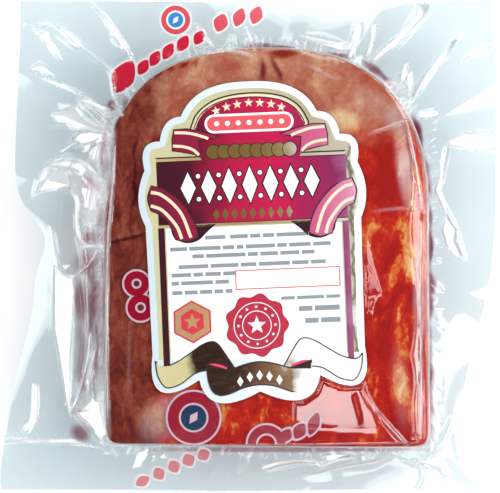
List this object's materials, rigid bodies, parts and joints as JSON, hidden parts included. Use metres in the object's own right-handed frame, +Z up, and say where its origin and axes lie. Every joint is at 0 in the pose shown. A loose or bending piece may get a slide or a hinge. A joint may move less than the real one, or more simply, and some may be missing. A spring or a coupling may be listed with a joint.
{
  "type": "pack of ham",
  "caption": "Arched block of smoked ham shrink-tight in a clear film bag with a pleated skirt and a die-cut gold and crimson label, lying on its back.",
  "frame": {"origin": "under the middle of the bag's box, on the surface that the pack lies on", "axes": "+Z up from the back of the pack to the labelled front, +Y towards the arched end, +X to the right as the label is read"},
  "size_m": [0.1506, 0.1484, 0.0355],
  "materials": {
    "film": "clear barrier film, high gloss",
    "label": "coated paper, gloss print with metal foil",
    "ham": "smoked ham under tight film, moist",
    "foil": "hot-stamped pale gold foil",
    "print": "glossy printing ink"
  },
  "bodies": {
    "root": {"bag": "film", "label": "label"}
  },
  "joints": []
}
